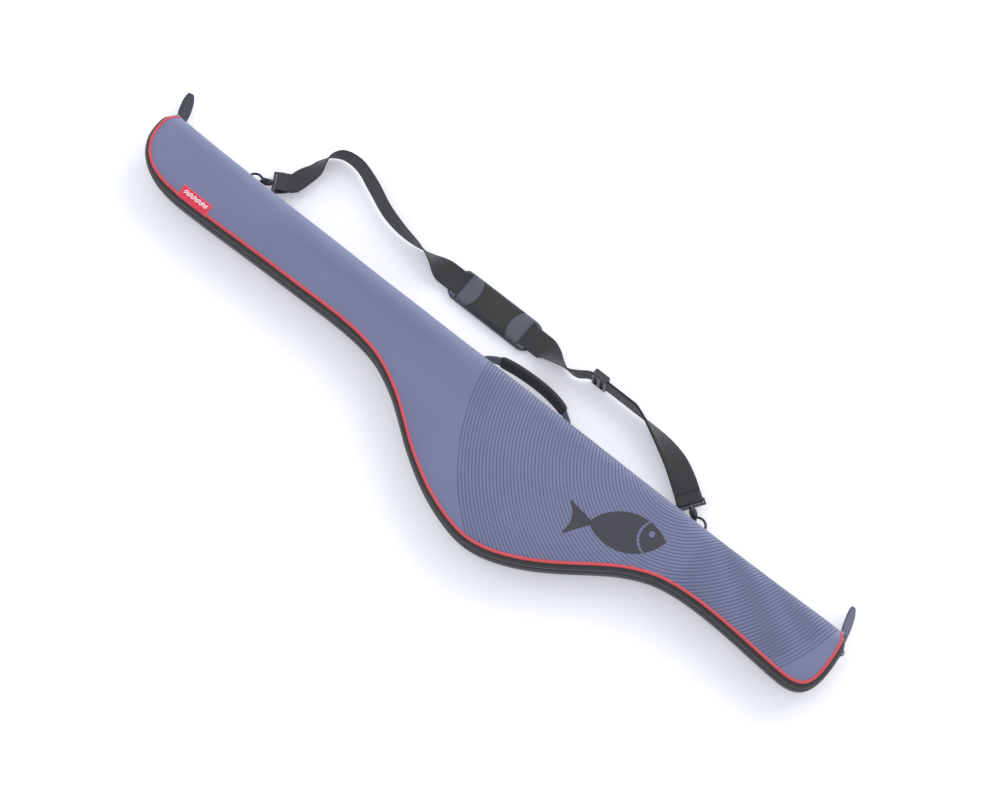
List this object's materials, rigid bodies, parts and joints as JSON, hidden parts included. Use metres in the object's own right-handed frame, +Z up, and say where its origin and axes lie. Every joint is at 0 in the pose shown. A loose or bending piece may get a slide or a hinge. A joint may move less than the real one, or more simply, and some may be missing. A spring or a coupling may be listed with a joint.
{
  "type": "fishing rod case",
  "caption": "Padded clamshell fishing rod case with a bellied butt end, zip gusset, piping, carry handle and a clip-on padded shoulder strap.",
  "frame": {"origin": "on the flat underside that the case rests on, on the centre line of the slim ends, half way along", "axes": "+X along the spine towards the butt end, +Y from the belly towards the spine, +Z up"},
  "size_m": [1.271, 0.3594, 0.0811],
  "materials": {
    "grey_fabric": "blue-grey woven shell fabric with a fine printed pinstripe",
    "black_fabric": "black woven shell fabric",
    "foam_board": "stiff foam board",
    "black_piping": "black piping cord",
    "red_piping": "red piping cord",
    "zip_tape": "woven zip tape with a nylon coil",
    "lining": "brushed lining cloth",
    "label_fabric": "woven label",
    "tab_fabric": "stitched folded fabric",
    "loop_fabric": "stitched folded fabric",
    "handle_grey": "grey webbing",
    "handle_grip": "stitched wrap",
    "webbing": "ribbed nylon webbing",
    "sleeve_fabric": "stitched sleeve cloth",
    "pad_grey": "moulded foam rubber with a fine grain",
    "pad_backing": "non-slip ribs",
    "moulded_plastic": "moulded acetal",
    "ring_metal": "black lacquered steel"
  },
  "bodies": {
    "base": {"back_cover": "black_fabric", "back_panel": "foam_board", "back_piping": "black_piping", "back_gusset": "black_fabric", "back_zip_tape": "zip_tape", "back_lining": "lining", "spine_board": "foam_board", "spine_cover": "grey_fabric", "spine_hinge": "grey_fabric", "tip_pocket": "lining", "rod_strap_tip": "webbing", "rod_strap_butt": "webbing", "tip_ring_loop": "loop_fabric", "butt_ring_loop": "loop_fabric", "handle_end_tip": "handle_grey", "handle_end_butt": "handle_grey", "tip_tab": "tab_fabric", "butt_tab": "tab_fabric"},
    "lid": {"lid_panel": "foam_board", "lid_cover": "grey_fabric", "lid_piping": "red_piping", "lid_gusset": "black_fabric", "lid_zip_tape": "zip_tape", "lid_lining": "lining", "lid_spine_board": "foam_board", "label": "label_fabric"},
    "handle": {"handle_webbing": "handle_grey", "handle_grip": "handle_grip"},
    "strap": {"strap_webbing": "webbing", "strap_return": "webbing", "tip_webbing_loop": "webbing", "butt_webbing_loop": "webbing", "tip_swivel": "moulded_plastic", "butt_swivel": "moulded_plastic"},
    "tip_ring": {"tip_ring": "ring_metal"},
    "butt_ring": {"butt_ring": "ring_metal"},
    "tip_hook": {"tip_hook": "moulded_plastic"},
    "butt_hook": {"butt_hook": "moulded_plastic"},
    "tip_gate": {"tip_gate": "moulded_plastic"},
    "butt_gate": {"butt_gate": "moulded_plastic"},
    "pad": {"pad_base": "pad_grey", "pad_backing": "pad_backing", "pad_sleeve": "sleeve_fabric"},
    "adjuster": {"adjuster": "moulded_plastic"},
    "tip_slider": {"tip_slider": "ring_metal"},
    "butt_slider": {"butt_slider": "ring_metal"},
    "tip_puller": {"tip_puller": "moulded_plastic"},
    "butt_puller": {"butt_puller": "moulded_plastic"}
  },
  "joints": [
    {"name": "lid_hinge", "type": "hinge", "parent": "base", "child": "lid", "pos_m": [0, 0.045, 0.056], "axis": [-1, 0, 0], "range_deg": [0, 160], "deforming": ["spine_hinge"]},
    {"name": "handle_swing", "type": "hinge", "parent": "base", "child": "handle", "pos_m": [0.045, 0.0475, 0.03], "axis": [-1, 0, 0], "range_deg": [-50, 0], "deforming": ["handle_webbing"]},
    {"name": "strap_swing", "type": "hinge", "parent": "base", "child": "strap", "pos_m": [0, 0.0505, 0.018], "axis": [-1, 0, 0], "range_deg": [-40, 0]},
    {"name": "tip_ring_swing", "type": "hinge", "parent": "base", "child": "tip_ring", "pos_m": [-0.4721, 0.0505, 0.018], "axis": [-1, 0, 0], "range_deg": [-40, 0]},
    {"name": "butt_ring_swing", "type": "hinge", "parent": "base", "child": "butt_ring", "pos_m": [0.3561, 0.0505, 0.018], "axis": [-1, 0, 0], "range_deg": [-40, 0]},
    {"name": "tip_hook_swivel", "type": "hinge", "parent": "strap", "child": "tip_hook", "pos_m": [-0.45162, 0.06734, 0.018], "axis": [-0.8192, -0.5736, 0], "range_deg": [-20, 20]},
    {"name": "butt_hook_swivel", "type": "hinge", "parent": "strap", "child": "butt_hook", "pos_m": [0.33562, 0.06734, 0.018], "axis": [0.8192, -0.5736, 0], "range_deg": [-20, 20]},
    {"name": "tip_gate_press", "type": "hinge", "parent": "tip_hook", "child": "tip_gate", "pos_m": [-0.45539, 0.0647, 0.023], "axis": [0.5736, -0.8192, 0], "range_deg": [0, 20], "stiffness_Nm_per_rad": 0.05, "springref_deg": -5.73},
    {"name": "butt_gate_press", "type": "hinge", "parent": "butt_hook", "child": "butt_gate", "pos_m": [0.33939, 0.0647, 0.023], "axis": [0.5736, 0.8192, 0], "range_deg": [0, 20], "stiffness_Nm_per_rad": 0.05, "springref_deg": -5.73},
    {"name": "pad_slide", "type": "slide", "parent": "strap", "child": "pad", "axis": [1, 0, 0], "range_m": [-0.0025, 0.0025]},
    {"name": "adjuster_slide", "type": "slide", "parent": "strap", "child": "adjuster", "axis": [1, 0, 0], "range_m": [0, 0.04]},
    {"name": "tip_slider_slide", "type": "slide", "parent": "base", "child": "tip_slider", "axis": [-0.078, -0.997, 0], "range_m": [0, 0.01]},
    {"name": "butt_slider_slide", "type": "slide", "parent": "base", "child": "butt_slider", "axis": [0.1235, -0.9923, 0], "range_m": [0, 0.01]},
    {"name": "tip_puller_flip", "type": "hinge", "parent": "tip_slider", "child": "tip_puller", "pos_m": [-0.63136, 0.02862, 0.056], "axis": [0, 0, -1], "range_deg": [0, 170]},
    {"name": "butt_puller_flip", "type": "hinge", "parent": "butt_slider", "child": "butt_puller", "pos_m": [0.62967, 0.02674, 0.056], "axis": [0, 0, 1], "range_deg": [0, 170]}
  ],
  "couplings": [
    {"joint": "tip_ring_swing", "follows": "strap_swing", "ratio": 1},
    {"joint": "butt_ring_swing", "follows": "strap_swing", "ratio": 1}
  ]
}
